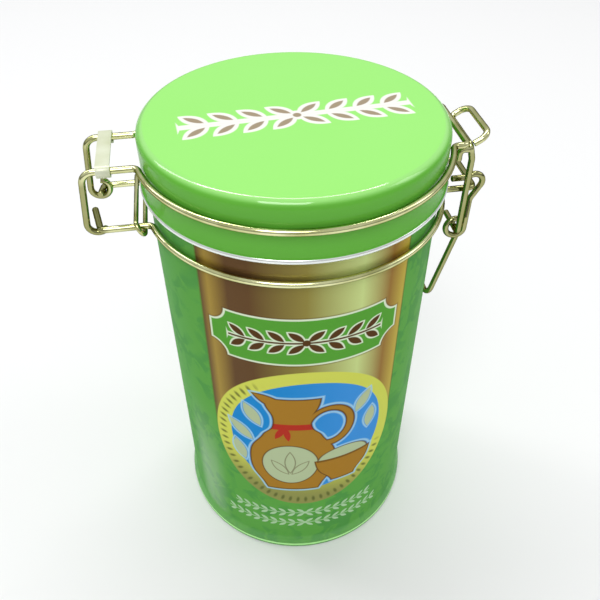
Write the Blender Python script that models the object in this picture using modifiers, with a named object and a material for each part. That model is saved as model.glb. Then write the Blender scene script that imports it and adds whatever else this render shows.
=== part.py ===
"""A tall round clip-top tin: a filled can, a push-on lid and the bent wires that hold it shut.

Metres, +Z up. The origin is on the surface that the tin stands on, at the middle of the whole
object's width and depth. The printed front faces -Y, the hinge is at -X and the latch at +X. The
lid is shut and the latch is closed.
"""

from math import acos, asin, ceil, cos, pi, radians, sin, tan

import bmesh
import bpy
from mathutils import Vector

MM = 0.001
CLEARANCE = 0.3 * MM
MERGE_DISTANCE = 0.002 * MM
TIN_AXIS_X = 1.84 * MM

# Can and lid
TIN_HEIGHT = 185.6 * MM
CAN_RADIUS = 49.3 * MM
CAN_TOP = 183.9 * MM
CAN_EDGE = 0.5 * MM
FOOT_RADIUS = 50.9 * MM
FOOT_HEIGHT = 3.2 * MM
FOOT_COVE = 4.0 * MM
COVE_STEPS = 4
BASE_RECESS = 2.2 * MM
BASE_RECESS_RADIUS = 48.2 * MM
LID_RADIUS = 50.5 * MM
LID_WALL = 0.8 * MM
LID_SHOULDER = 3.25 * MM
HEM_HEIGHT = 165.9 * MM
HEM_CURL = 1.0 * MM
HEM_OUTSET = 0.25 * MM
HEM_START = radians(70)
HEM_END = radians(-100)
PROFILE_STEPS = 5
TURN_STEPS = 64

# Wires
WIRE = 2.2 * MM
TIE_WIRE = 1.6 * MM
ARC_STEP = radians(18)
RING_STEP = radians(6)
EYE_RADIUS = 3.2 * MM
TIGHT_BEND = 1.6 * MM
BEND = 2.2 * MM
WIDE_BEND = 4.0 * MM
UPPER_HEIGHT = 176.84 * MM
LOWER_HEIGHT = 156.9 * MM
UPPER_RING = LID_RADIUS + WIRE / 2 + CLEARANCE
LOWER_RING = CAN_RADIUS + WIRE / 2 + CLEARANCE

# Hinge side, at -X
HINGE_ARM_Y = 10.7 * MM
HINGE_EYE_X = -66.5 * MM
HINGE_EYE_HEIGHT = 157.7 * MM
HINGE_LEG_LEAN = radians(6)
EYE_MOUTH_FRONT = radians(-30)
EYE_MOUTH_REAR = radians(80)
HINGE_PIN_ARM_Y = 13.3 * MM
HINGE_PIN_ROOT_X = -65.4 * MM
HINGE_PIN_TIP_X = -67.8 * MM
HINGE_PIN_TIP_FRONT = -1.0 * MM
HINGE_PIN_TIP_REAR = 7.6 * MM
STRAP_X = -61.0 * MM
STRAP_WIDTH = 4.4 * MM
STRAP_THICKNESS = 0.7 * MM
STRAP_WRAP = radians(215)
STRAP_STEPS = 9
TIE_TOP_X = -53.9 * MM
TIE_BOTTOM_X = -51.6 * MM
TIE_REACH_Y = 16.2 * MM
TIE_RISE = 2.2 * MM
TIE_END_STEPS = 8

# Latch side, at +X
UPPER_BAR_X = 54.9 * MM
UPPER_BAR_HALF = 14.1 * MM
LOWER_BAR_X = 62.1 * MM
LOWER_BAR_HALF = 9.2 * MM
LINK_FRONT_Y = -11.7 * MM
LINK_REAR_Y = 8.7 * MM
LINK_X = 58.1 * MM
LINK_BEND_HEIGHT = 170.0 * MM
LINK_BAR_X = 56.8 * MM
LINK_BAR_HEIGHT = 175.1 * MM
THUMB_BAR_X = 62.8 * MM
THUMB_BAR_HEIGHT = 178.6 * MM
LINK_STUB_X = 53.4 * MM
LINK_STUB_HEIGHT = 173.9 * MM
LINK_STUB_DROP = 4.0 * MM
LINK_STUB_SINK = 0.2 * MM
LINK_LOOP_GAP = 0.42 * MM
KNEE_HEIGHT = 139.4 * MM
KNEE_PIN_Y = 1.6 * MM
LEVER_HOOK_X = 62.8 * MM
LEVER_HOOK_HEIGHT = 157.4 * MM
LEVER_HOOK_Y = -6.7 * MM
LEVER_HOOK_START = radians(120)
LEVER_HOOK_END = radians(-34)
LEVER_TAIL_X = 54.4 * MM
LEVER_TAIL_HEIGHT = 159.5 * MM
LEVER_TAIL_BEND_SETBACK = 1.0 * MM
LEVER_SET = 2.9 * MM
LEVER_SET_HEIGHT = 150.4 * MM
COIL_X = 58.2 * MM
COIL_Y = -8.9 * MM
COIL_HEIGHT = 139.0 * MM
COIL_PITCH = 2.6 * MM
COIL_LEAD = 4.6 * MM
HANDLE_LEAN = radians(14)
HANDLE_END_X = 52.9 * MM
HANDLE_WIDTH = 11.0 * MM
HANDLE_RETURN_X = 54.6 * MM

FRONT = -1
REAR = 1


def clear_scene():
    for old in list(bpy.data.objects):
        bpy.data.objects.remove(old, do_unlink=True)


def named_collection(name):
    made = bpy.data.collections.new(name)
    bpy.context.scene.collection.children.link(made)
    return made


def enamel(name, colour, metallic, roughness):
    made = bpy.data.materials.new(name)
    made.use_nodes = True
    shader = made.node_tree.nodes["Principled BSDF"]
    shader.inputs["Base Color"].default_value = (*colour, 1)
    shader.inputs["Metallic"].default_value = metallic
    shader.inputs["Roughness"].default_value = roughness
    return made


def mesh_object(name, bm, collection, material):
    mesh = bpy.data.meshes.new(name)
    bm.to_mesh(mesh)
    bm.free()
    made = bpy.data.objects.new(name, mesh)
    collection.objects.link(made)
    mesh.materials.append(material)
    return made


def smooth(piece):
    piece.data.shade_smooth()
    piece.data.set_sharp_from_angle(angle=radians(40))


# Turned pieces


def arc_profile(centre_x, centre_z, radius, start, end, steps):
    turn = (end - start) / steps
    return [
        (centre_x + radius * cos(start + turn * i), centre_z + radius * sin(start + turn * i))
        for i in range(steps + 1)
    ]


def turned(name, profile, collection, material):
    """A profile of (radius, height) pairs, top to bottom on its outer side, turned about Z."""
    bm = bmesh.new()
    points = [bm.verts.new((radius, 0, height)) for radius, height in profile]
    for first, second in zip(points, points[1:]):
        bm.edges.new((first, second))
    piece = mesh_object(name, bm, collection, material)
    screw = piece.modifiers.new("turn", "SCREW")
    screw.axis = "Z"
    screw.angle = 2 * pi
    screw.steps = TURN_STEPS
    screw.render_steps = TURN_STEPS
    screw.use_merge_vertices = True
    screw.merge_threshold = MERGE_DISTANCE
    screw.use_smooth_shade = True
    return piece


def can_profile():
    roll = FOOT_HEIGHT / 2
    side = [(0, CAN_TOP), (CAN_RADIUS - CAN_EDGE, CAN_TOP), (CAN_RADIUS, CAN_TOP - CAN_EDGE)]
    cove = []
    for i in range(COVE_STEPS):
        along = i / COVE_STEPS
        flare = (FOOT_RADIUS - CAN_RADIUS) * (1 - cos(pi * along)) / 2
        cove.append((CAN_RADIUS + flare, FOOT_HEIGHT + FOOT_COVE * (1 - along)))
    foot = arc_profile(FOOT_RADIUS - roll, roll, roll, pi / 4, -pi / 2, PROFILE_STEPS)
    base = [(BASE_RECESS_RADIUS, 0), (BASE_RECESS_RADIUS, BASE_RECESS), (0, BASE_RECESS)]
    return side + cove + foot + base


def lid_profile():
    inside = LID_RADIUS - LID_WALL
    underside = CAN_TOP + CLEARANCE
    shoulder_x = LID_RADIUS - LID_SHOULDER
    shoulder_z = TIN_HEIGHT - LID_SHOULDER
    shoulder = arc_profile(shoulder_x, shoulder_z, LID_SHOULDER, pi / 2, 0, PROFILE_STEPS)
    hem = arc_profile(LID_RADIUS + HEM_OUTSET, HEM_HEIGHT, HEM_CURL, HEM_START, HEM_END, PROFILE_STEPS + 1)
    lining = [(inside, HEM_HEIGHT - HEM_CURL), (inside, underside), (0, underside)]
    return [(0, TIN_HEIGHT)] + shoulder + hem + lining


# Bent wires


def bent(corners):
    """The path through (point, bend radius) corners, a radius of 0 leaving the corner as it is."""
    path = [corners[0][0]]
    for (before, _), (corner, radius), (after, _) in zip(corners, corners[1:], corners[2:]):
        back = (before - corner).normalized()
        ahead = (after - corner).normalized()
        turn = pi - acos(max(-1, min(1, back.dot(ahead))))
        if radius == 0 or turn < radians(1):
            path.append(corner)
            continue
        centre = corner + (back + ahead).normalized() * (radius / cos(turn / 2))
        start = corner + back * (radius * tan(turn / 2)) - centre
        axis = start.cross(corner + ahead * (radius * tan(turn / 2)) - centre).normalized()
        steps = max(2, ceil(turn / ARC_STEP))
        for i in range(steps + 1):
            angle = turn * i / steps
            path.append(centre + start * cos(angle) + axis.cross(start) * sin(angle))
    path.append(corners[-1][0])
    return path


def unbent(points):
    return [(point, 0) for point in points]


def ring_arc(radius, height, start, end):
    """Points round the tin's axis, the two ends included."""
    steps = ceil(abs(end - start) / RING_STEP)
    angles = [start + (end - start) * i / steps for i in range(steps + 1)]
    return [Vector((radius * cos(angle), radius * sin(angle), height)) for angle in angles]


def curl(centre, radius, start, end, drift=0.0):
    """Points on a curl in an XZ plane, from the angle start to end, moved by drift along Y on the way."""
    steps = ceil(abs(end - start) / ARC_STEP)
    points = []
    for i in range(steps + 1):
        angle = start + (end - start) * i / steps
        points.append(centre + Vector((radius * cos(angle), drift * i / steps, radius * sin(angle))))
    return points


def wire(name, path, thickness, collection, material, closed=False):
    data = bpy.data.curves.new(name, "CURVE")
    data.dimensions = "3D"
    data.bevel_depth = thickness / 2
    data.bevel_resolution = 2
    data.use_fill_caps = not closed
    data.render_resolution_u = 0
    spline = data.splines.new("POLY")
    spline.points.add(len(path) - 1)
    for point, place in zip(spline.points, path):
        point.co = (*place, 1)
    spline.use_cyclic_u = closed
    spline.use_smooth = True
    made = bpy.data.objects.new(name, data)
    collection.objects.link(made)
    data.materials.append(material)
    return made


def upper_half(side):
    """Corners of one half of the lid's wire, from its curled hinge eye to its bar on the latch side."""
    arm_y = side * HINGE_ARM_Y
    bar_y = side * UPPER_BAR_HALF
    mouth = EYE_MOUTH_FRONT if side == FRONT else EYE_MOUTH_REAR
    eye = curl(Vector((HINGE_EYE_X, arm_y, HINGE_EYE_HEIGHT)), EYE_RADIUS, mouth, -pi - HINGE_LEG_LEAN)
    rise = UPPER_HEIGHT - eye[-1].z
    shoulder = Vector((eye[-1].x + rise * tan(HINGE_LEG_LEAN), arm_y, UPPER_HEIGHT))
    leave = side * (pi - asin(HINGE_ARM_Y / UPPER_RING))
    ring = ring_arc(UPPER_RING, UPPER_HEIGHT, leave, asin(bar_y / UPPER_RING))
    bar_end = Vector((UPPER_BAR_X, bar_y, UPPER_HEIGHT))
    hinge_corners = [(shoulder, WIDE_BEND), (ring[0], BEND)]
    latch_corners = [(ring[-1], BEND), (bar_end, BEND)]
    return unbent(eye) + hinge_corners + unbent(ring[1:-1]) + latch_corners


def lower_half(side):
    """Corners of one half of the can's wire, from its hinge pin to its bar on the latch side."""
    arm_y = side * HINGE_PIN_ARM_Y
    bar_y = side * LOWER_BAR_HALF
    pin_root = Vector((HINGE_PIN_ROOT_X, arm_y, LOWER_HEIGHT))
    tip_y = HINGE_PIN_TIP_FRONT if side == FRONT else HINGE_PIN_TIP_REAR
    splay = (HINGE_PIN_TIP_X - HINGE_PIN_ROOT_X) / (HINGE_PIN_ARM_Y - abs(HINGE_PIN_TIP_FRONT))
    pin_tip = pin_root + Vector((splay * abs(arm_y - tip_y), tip_y - arm_y, 0))
    leave = side * (pi - asin(HINGE_PIN_ARM_Y / LOWER_RING))
    ring = ring_arc(LOWER_RING, LOWER_HEIGHT, leave, asin(bar_y / LOWER_RING))
    bar_end = Vector((LOWER_BAR_X, bar_y, LOWER_HEIGHT))
    hinge_corners = [(pin_tip, 0), (pin_root, TIGHT_BEND), (ring[0], BEND)]
    latch_corners = [(ring[-1], BEND), (bar_end, BEND)]
    return hinge_corners + unbent(ring[1:-1]) + latch_corners


def whole(half):
    """The path of a wire whose two halves meet at the latch."""
    return bent(half(FRONT) + half(REAR)[::-1])


def link_path():
    """The latch link: a long knee pin, one leg, then the flat loop that the thumb lifts."""
    leg_top = Vector((LINK_BAR_X, LINK_FRONT_Y, LINK_BAR_HEIGHT))
    thumb_corner = Vector((THUMB_BAR_X, LINK_FRONT_Y, THUMB_BAR_HEIGHT))
    loop_end = leg_top + (thumb_corner - leg_top).normalized() * (WIRE / 2 + LINK_LOOP_GAP)
    return bent(
        [
            (Vector((LINK_X, KNEE_PIN_Y, KNEE_HEIGHT)), 0),
            (Vector((LINK_X, LINK_FRONT_Y, KNEE_HEIGHT)), TIGHT_BEND),
            (Vector((LINK_X, LINK_FRONT_Y, LINK_BEND_HEIGHT)), WIDE_BEND),
            (leg_top, TIGHT_BEND),
            (Vector((LINK_BAR_X, LINK_REAR_Y, LINK_BAR_HEIGHT)), BEND),
            (Vector((THUMB_BAR_X, LINK_REAR_Y, THUMB_BAR_HEIGHT)), BEND),
            (thumb_corner, BEND),
            (loop_end, 0),
        ]
    )


def link_stub_path():
    """The link's short hook, under the lid wire's bar and down behind it."""
    root_x = LINK_BAR_X + LINK_STUB_SINK
    root_height = LINK_STUB_HEIGHT - LINK_STUB_SINK
    end_height = LINK_STUB_HEIGHT - LINK_STUB_DROP
    return bent(
        [
            (Vector((root_x, LINK_FRONT_Y, root_height)), 0),
            (Vector((LINK_STUB_X, LINK_FRONT_Y, LINK_STUB_HEIGHT)), TIGHT_BEND),
            (Vector((LINK_STUB_X, LINK_FRONT_Y, end_height)), 0),
        ]
    )


def lever_path():
    """The latch lever, from its tail over the can wire's bar to the coil at the knee and the handle."""
    hook_centre = Vector((LEVER_HOOK_X, LEVER_HOOK_Y, LEVER_HOOK_HEIGHT))
    hook = curl(hook_centre, EYE_RADIUS, LEVER_HOOK_START, LEVER_HOOK_END)
    turn = 2 * pi + HANDLE_LEAN
    coil = curl(Vector((COIL_X, COIL_Y, COIL_HEIGHT)), EYE_RADIUS, 0, -turn, COIL_PITCH)
    rise = coil[-1].x - HANDLE_END_X
    end_height = coil[-1].z - rise / tan(HANDLE_LEAN)
    return_y = coil[-1].y + HANDLE_WIDTH
    return_height = end_height + (HANDLE_RETURN_X - HANDLE_END_X) / tan(HANDLE_LEAN)
    tail_bend_x = hook[0].x - LEVER_TAIL_BEND_SETBACK
    tail = [
        (Vector((LEVER_TAIL_X, LEVER_HOOK_Y, LEVER_TAIL_HEIGHT)), 0),
        (Vector((tail_bend_x, LEVER_HOOK_Y, LEVER_TAIL_HEIGHT)), TIGHT_BEND),
    ]
    leg = [
        (Vector((hook[-1].x - LEVER_SET, LEVER_HOOK_Y, LEVER_SET_HEIGHT)), WIDE_BEND),
        (Vector((COIL_X + EYE_RADIUS, COIL_Y, COIL_HEIGHT + COIL_LEAD)), WIDE_BEND),
    ]
    handle = [
        (Vector((HANDLE_END_X, coil[-1].y, end_height)), 2 * BEND),
        (Vector((HANDLE_END_X, return_y, end_height)), 2 * BEND),
        (Vector((HANDLE_RETURN_X, return_y, return_height)), 0),
    ]
    return bent(tail + unbent(hook) + leg + unbent(coil) + handle)


def tie_path():
    """The closed thin loop round both hinge pin arms."""
    top = Vector((TIE_TOP_X, 0, LOWER_HEIGHT + TIE_RISE))
    bottom = Vector((TIE_BOTTOM_X, 0, LOWER_HEIGHT - TIE_RISE))
    middle = (top + bottom) / 2
    half = (top - bottom) / 2
    end_y = TIE_REACH_Y - half.length
    path = []
    for side in (FRONT, REAR):
        for i in range(TIE_END_STEPS + 1):
            angle = pi * i / TIE_END_STEPS
            reach = Vector((0, side * (end_y + half.length * sin(angle)), 0))
            path.append(middle + reach - side * cos(angle) * half)
    return path


def curve_to_mesh(piece):
    """The curve as a mesh object of its own, with its caps welded on."""
    evaluated = piece.evaluated_get(bpy.context.evaluated_depsgraph_get())
    mesh = bpy.data.meshes.new_from_object(evaluated)
    bm = bmesh.new()
    bm.from_mesh(mesh)
    bmesh.ops.remove_doubles(bm, verts=bm.verts, dist=MERGE_DISTANCE)
    bm.to_mesh(mesh)
    bm.free()
    name = piece.name
    made = bpy.data.objects.new(name + "_mesh", mesh)
    made.matrix_world = piece.matrix_world
    piece.users_collection[0].objects.link(made)
    bpy.data.objects.remove(piece, do_unlink=True)
    made.name = name
    return made


def joined(piece, added):
    """Fuses added into piece by a Boolean union, and hides the piece that was added."""
    union = piece.modifiers.new("fuse", "BOOLEAN")
    union.operation = "UNION"
    union.solver = "EXACT"
    union.object = added
    added.hide_render = True
    added.display_type = "WIRE"


# Strap


def strap(collection, material):
    """A flat band over both hinge arms, its ends rolled round them, made of one bent sheet."""
    roll = WIRE / 2 + CLEARANCE + STRAP_THICKNESS / 2
    half = []
    for i in range(STRAP_STEPS + 1):
        angle = pi / 2 + STRAP_WRAP * (1 - i / STRAP_STEPS)
        half.append((-HINGE_ARM_Y + roll * cos(angle), UPPER_HEIGHT + roll * sin(angle)))
    outline = half + [(-y, z) for y, z in reversed(half)]
    bm = bmesh.new()
    edges = []
    first = [bm.verts.new((STRAP_X - STRAP_WIDTH / 2, y, z)) for y, z in outline]
    for start, end in zip(first, first[1:]):
        edges.append(bm.edges.new((start, end)))
    swept = bmesh.ops.extrude_edge_only(bm, edges=edges)
    moved = [part for part in swept["geom"] if isinstance(part, bmesh.types.BMVert)]
    bmesh.ops.translate(bm, verts=moved, vec=(STRAP_WIDTH, 0, 0))
    bmesh.ops.recalc_face_normals(bm, faces=bm.faces)
    piece = mesh_object("hinge_strap", bm, collection, material)
    shell = piece.modifiers.new("sheet", "SOLIDIFY")
    shell.thickness = STRAP_THICKNESS
    shell.offset = 0
    shell.use_even_offset = True
    smooth(piece)


def stand_on_axis(collection, pieces):
    """Hangs the pieces, which are made round the tin's own axis, on an empty at that axis."""
    axis = bpy.data.objects.new("tin_axis", None)
    axis.location = (TIN_AXIS_X, 0, 0)
    collection.objects.link(axis)
    for piece in pieces:
        piece.parent = axis


def main():
    clear_scene()
    parts = named_collection("clip_top_tin")
    helpers = named_collection("fused_in")
    green = enamel("green_enamel", (0.10, 0.38, 0.06), metallic=0, roughness=0.3)
    lid_green = enamel("lid_green", (0.34, 0.90, 0.20), metallic=0, roughness=0.3)
    brass = enamel("pale_brass_wire", (0.62, 0.60, 0.32), metallic=1, roughness=0.25)
    strap_brass = enamel("pale_brass_strap", (0.72, 0.71, 0.48), metallic=1, roughness=0.3)

    turned("can", can_profile(), parts, green)
    turned("lid", lid_profile(), parts, lid_green)

    wire("upper_wire", whole(upper_half), WIRE, parts, brass)
    wire("lower_wire", whole(lower_half), WIRE, parts, brass)
    wire("tie_loop", tie_path(), TIE_WIRE, parts, brass, closed=True)
    strap(parts, strap_brass)

    link = curve_to_mesh(wire("latch_link", link_path(), WIRE, parts, brass))
    stub = curve_to_mesh(wire("latch_link_stub", link_stub_path(), WIRE, helpers, brass))
    joined(link, stub)
    smooth(link)
    wire("latch_lever", lever_path(), WIRE, parts, brass)
    stand_on_axis(parts, [*parts.objects, *helpers.objects])


main()
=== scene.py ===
from math import acos, asin, ceil, cos, pi, radians, sin, tan

import bpy
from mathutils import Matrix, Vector


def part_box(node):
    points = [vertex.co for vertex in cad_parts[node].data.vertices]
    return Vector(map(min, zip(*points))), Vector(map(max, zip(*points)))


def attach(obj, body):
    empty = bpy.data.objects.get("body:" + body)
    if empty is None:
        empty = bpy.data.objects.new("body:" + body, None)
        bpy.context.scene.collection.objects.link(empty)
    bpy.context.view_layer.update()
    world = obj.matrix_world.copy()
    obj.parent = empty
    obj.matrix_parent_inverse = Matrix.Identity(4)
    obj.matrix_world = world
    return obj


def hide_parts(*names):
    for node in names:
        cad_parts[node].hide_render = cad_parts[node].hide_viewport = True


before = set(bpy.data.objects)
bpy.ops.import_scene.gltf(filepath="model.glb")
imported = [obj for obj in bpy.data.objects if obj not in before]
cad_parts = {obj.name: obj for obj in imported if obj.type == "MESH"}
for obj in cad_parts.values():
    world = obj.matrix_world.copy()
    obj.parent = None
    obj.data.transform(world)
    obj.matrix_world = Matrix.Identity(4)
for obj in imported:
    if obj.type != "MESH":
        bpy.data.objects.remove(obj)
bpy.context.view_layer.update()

mm = 0.001
canLow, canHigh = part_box("can")
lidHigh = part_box("lid")[1]
middleX = (canLow.x + canHigh.x) / 2  # the tin's own axis, a little off the origin
print("frame loaded, tin axis at x =", round(middleX / mm, 2), "mm")


# Camera, floor and lights

view = {
    "place": (-29.4 * mm, -196.7 * mm, 287.6 * mm),
    "down": 42.63,  # degrees below level
    "turn": -9.58,
    "lens": 40.45,
    "sensor": 36,
    "clipStart": 10 * mm,
}
studio = {
    "floorSize": 6.0,
    "floorColour": (0.85, 0.85, 0.85),
    "floorRoughness": 0.9,
    "worldColour": (0.98, 0.99, 1.0),
    "worldLow": 0.20,  # strength at the horizon and overhead
    "worldHigh": 0.60,
    "worldRise": (0.02, 0.40),
    "aimHeight": 100 * mm,
    "lamps": {  # each softbox's place, size and power
        "overheadBox": ((0.00, 0.60, 1.62), (1.60, 0.20), 10.8),
        "frontBox": ((-0.30, -0.90, 1.60), (0.80, 0.60), 9.4),
        "backLeftBox": ((-1.15, 0.80, 1.45), (0.30, 1.00), 3.8),
        "rightBox": ((1.40, -0.10, 1.10), (0.50, 0.80), 2.2),
    },
    "wallLight": 0.82,  # side light on the wall, and the sheen over it
    "wallSheen": 0.006,
    "darkestInk": 0.003,
}


def addCamera():
    bpy.ops.object.camera_add(location=view["place"])
    camera = bpy.context.object
    camera.rotation_euler = (radians(90 - view["down"]), 0, radians(view["turn"]))
    camera.data.lens = view["lens"]
    camera.data.sensor_width = view["sensor"]
    camera.data.clip_start = view["clipStart"]
    bpy.context.scene.camera = camera


def addSoftbox(name, place, size, power):
    bpy.ops.object.light_add(type="AREA", location=place)
    lamp = bpy.context.object
    lamp.name = name
    towards = Vector((middleX, 0, studio["aimHeight"])) - Vector(place)
    lamp.rotation_euler = towards.to_track_quat("-Z", "Y").to_euler()
    lamp.data.shape = "RECTANGLE"
    lamp.data.size = size[0]
    lamp.data.size_y = size[1]
    lamp.data.energy = power


def addFloor():
    bpy.ops.mesh.primitive_circle_add(vertices=96, radius=studio["floorSize"] / 2, fill_type="NGON")
    floor = bpy.context.object
    floor.name = "floor"
    paper = bpy.data.materials.new("palePaper")
    paper.use_nodes = True
    shader = paper.node_tree.nodes["Principled BSDF"]
    shader.inputs["Base Color"].default_value = (*studio["floorColour"], 1)
    shader.inputs["Roughness"].default_value = studio["floorRoughness"]
    floor.data.materials.append(paper)


def addWorld():
    # a plain room that is brighter overhead than at the horizon
    world = bpy.data.worlds.new("softRoom")
    world.use_nodes = True
    sky = world.node_tree.nodes["Background"]
    sky.inputs["Color"].default_value = (*studio["worldColour"], 1)
    towards = world.node_tree.nodes.new("ShaderNodeTexCoord")
    split = world.node_tree.nodes.new("ShaderNodeSeparateXYZ")
    world.node_tree.links.new(towards.outputs["Generated"], split.inputs[0])
    rise = world.node_tree.nodes.new("ShaderNodeMapRange")
    world.node_tree.links.new(split.outputs["Z"], rise.inputs["Value"])
    rise.interpolation_type = "SMOOTHSTEP"
    rise.inputs["From Min"].default_value = studio["worldRise"][0]
    rise.inputs["From Max"].default_value = studio["worldRise"][1]
    rise.inputs["To Min"].default_value = studio["worldLow"]
    rise.inputs["To Max"].default_value = studio["worldHigh"]
    world.node_tree.links.new(rise.outputs["Result"], sky.inputs["Strength"])
    bpy.context.scene.world = world
    bpy.context.scene.view_settings.view_transform = "Standard"


# Modelling helpers

smoothBelow = 35  # degrees between faces that still shade as one


def pick(*pieces):
    bpy.ops.object.select_all(action="DESELECT")
    for piece in pieces:
        piece.select_set(True)
    bpy.context.view_layer.objects.active = pieces[0]


def applyModifiers(piece):
    pick(piece)
    for modifier in [m.name for m in piece.modifiers]:
        bpy.ops.object.modifier_apply(modifier=modifier)


def drawnLine(points):
    # one corner of a tiny plane, drawn out from point to point
    bpy.ops.object.select_all(action="DESELECT")
    bpy.ops.mesh.primitive_plane_add(size=mm)
    bpy.ops.object.mode_set(mode="EDIT")
    bpy.ops.mesh.merge(type="CENTER")
    bpy.ops.transform.translate(value=points[0])
    for here, there in zip(points, points[1:]):
        bpy.ops.mesh.extrude_vertices_move(TRANSFORM_OT_translate={"value": there - here})
    return bpy.context.object


def turned(profile, steps):
    # (radius, height) pairs spun round the tin's axis, starting and ending on it
    piece = drawnLine([Vector((radius, 0, height)) for radius, height in profile])
    bpy.ops.mesh.select_all(action="SELECT")
    bpy.ops.mesh.spin(steps=steps, angle=2 * pi, center=(0, 0, 0), axis=(0, 0, 1))
    bpy.ops.mesh.select_all(action="SELECT")
    bpy.ops.mesh.remove_doubles(threshold=0.004 * mm)
    bpy.ops.mesh.normals_make_consistent(inside=False)
    bpy.ops.object.mode_set(mode="OBJECT")
    piece.location.x = middleX
    return piece


def arc(middle, radius, start, end, steps):
    turns = [radians(start + (end - start) * i / steps) for i in range(steps + 1)]
    return [(middle[0] + radius * cos(turn), middle[1] + radius * sin(turn)) for turn in turns]


def finished(piece, name, node, materials):
    pick(piece)
    bpy.ops.object.transform_apply(location=True, rotation=True, scale=True)
    bpy.ops.object.shade_smooth_by_angle(angle=radians(smoothBelow))
    piece.name = name
    piece.data.name = name
    piece.data.materials.clear()
    for material in materials:
        piece.data.materials.append(material)
    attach(piece, "root")
    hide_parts(node)
    print(name, len(piece.data.polygons), "faces")
    return piece


# Can

can = {
    "radius": 49.3 * mm,
    "top": 183.9 * mm,
    "topEdge": 0.6 * mm,
    "wallHeights": (165 * mm, 140 * mm, 110 * mm, 80 * mm, 50 * mm, 25 * mm),
    "footRadius": 50.9 * mm,
    "footHeight": 3.2 * mm,
    "footCove": 4.0 * mm,
    "coveSteps": 9,
    "footRoll": 0.8 * mm,
    "recess": 2.2 * mm,
    "recessRadius": 48.2 * mm,
    "recessEdge": 0.3 * mm,
    "baseRing": (30 * mm, 42 * mm),
    "baseRingHeight": 0.6 * mm,
    "baseRingFoot": 1.2 * mm,  # half a ring's width at its foot and at its crest
    "baseRingCrest": 0.5 * mm,
    "seamWidth": 1.4 * mm,
    "seamRise": 0.12 * mm,
    "seamHeights": (8 * mm, 182 * mm),
    "seamShade": (0.55, 0.40),  # parts of its width
    "steps": 288,
}


def makeCan(materials):
    radius = can["radius"]
    edge = can["topEdge"]
    profile = [(0, can["top"]), (radius - edge, can["top"])]
    profile += arc((radius - edge, can["top"] - edge), edge, start=75, end=0, steps=4)
    profile += [(radius, height) for height in can["wallHeights"]]
    flare = can["footRadius"] - radius
    for i in range(can["coveSteps"]):
        along = i / can["coveSteps"]
        swell = flare * (1 - cos(pi * along)) / 2
        profile.append((radius + swell, can["footHeight"] + can["footCove"] * (1 - along)))
    roll = can["footRoll"]
    profile += arc((can["footRadius"] - roll, can["footHeight"] - roll), roll, start=45, end=0, steps=3)
    profile += arc((can["footRadius"] - roll, roll), roll, start=0, end=-90, steps=6)
    inner = can["recessRadius"] + roll / 2
    profile += arc((inner, roll / 2), roll / 2, start=-90, end=-180, steps=4)
    depth = can["recess"]
    bevel = can["recessEdge"]
    profile += [(can["recessRadius"], depth - bevel), (can["recessRadius"] - bevel, depth)]
    crestDepth = depth - can["baseRingHeight"]
    foot = can["baseRingFoot"]
    crest = can["baseRingCrest"]
    for ring in reversed(can["baseRing"]):
        profile += [(ring + foot, depth), (ring + crest, crestDepth)]
        profile += [(ring - crest, crestDepth), (ring - foot, depth)]
    profile.append((0, depth))
    piece = turned(profile, can["steps"])
    raiseSeam(piece)
    finished(piece, "canBody", "can", materials)


def raiseSeam(piece):
    # the wall's welded side seam, at the back where no print crosses it
    half = can["seamWidth"] / 2
    low, high = can["seamHeights"]
    for vertex in piece.data.vertices:
        onWall = low < vertex.co.z < high and abs(vertex.co.xy.length - can["radius"]) < 0.01 * mm
        vertex.select = onWall and abs(vertex.co.x) < half and vertex.co.y > 0
    for edge in piece.data.edges:
        edge.select = False
    for face in piece.data.polygons:
        face.select = False
    pick(piece)
    bpy.ops.object.mode_set(mode="EDIT")
    grow = 1 + can["seamRise"] / can["radius"]
    bpy.ops.transform.resize(value=(1, grow, 1), center_override=(middleX, 0, 0))
    bpy.ops.object.mode_set(mode="OBJECT")


# Lid

lid = {
    "radius": 50.5 * mm,
    "wall": 0.8 * mm,
    "shoulder": 3.25 * mm,
    "innerRing": 30 * mm,  # a ring of edges that splits the flat top
    "skirtHeights": (180 * mm, 176 * mm, 172 * mm, 168.4 * mm),
    "hemHeight": 165.9 * mm,
    "hemRadius": 1.0 * mm,
    "hemOutset": 0.25 * mm,
    "hemTurn": (76, -110),
    "hemDrop": 0.9 * mm,
    "overCan": 0.3 * mm,
    "bareHeight": 0.68 * mm,  # the enamel ends here, over the hem's middle
    "steps": 288,
}


def makeLid(materials):
    top = lidHigh.z
    radius = lid["radius"]
    bend = lid["shoulder"]
    hem = (radius + lid["hemOutset"], lid["hemHeight"])
    profile = [(0, top), (lid["innerRing"], top)]
    profile += arc((radius - bend, top - bend), bend, start=90, end=0, steps=18)
    profile += [(radius, height) for height in lid["skirtHeights"]]
    profile += arc(hem, lid["hemRadius"], *lid["hemTurn"], steps=14)
    inside = radius - lid["wall"]
    underside = can["top"] + lid["overCan"]
    profile += [(inside, hem[1] - lid["hemDrop"]), (inside, underside), (0, underside)]
    piece = finished(turned(profile, lid["steps"]), "lidShell", "lid", materials)
    for face in piece.data.polygons:
        if face.center.z < hem[1] + lid["bareHeight"]:
            face.material_index = 1


# Wires: corners with bend radii, then a fine line through them

wires = {
    "thick": 2.2 * mm,
    "tieThick": 1.6 * mm,
    "gap": 0.3 * mm,
    "eye": 3.2 * mm,
    "tight": 1.6 * mm,
    "bend": 2.2 * mm,
    "wide": 4.0 * mm,
    "upperHeight": 176.84 * mm,
    "lowerHeight": 156.9 * mm,
    "sides": 7,
    "cutEdge": 0.22 * mm,
    "cutSlope": 1.6,
    "bendStep": 7,  # degrees between the points of a bend, and of the rings
    "ringStep": 2.5,
}
upperRing = lid["radius"] + wires["thick"] / 2 + wires["gap"]
lowerRing = can["radius"] + wires["thick"] / 2 + wires["gap"]


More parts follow.
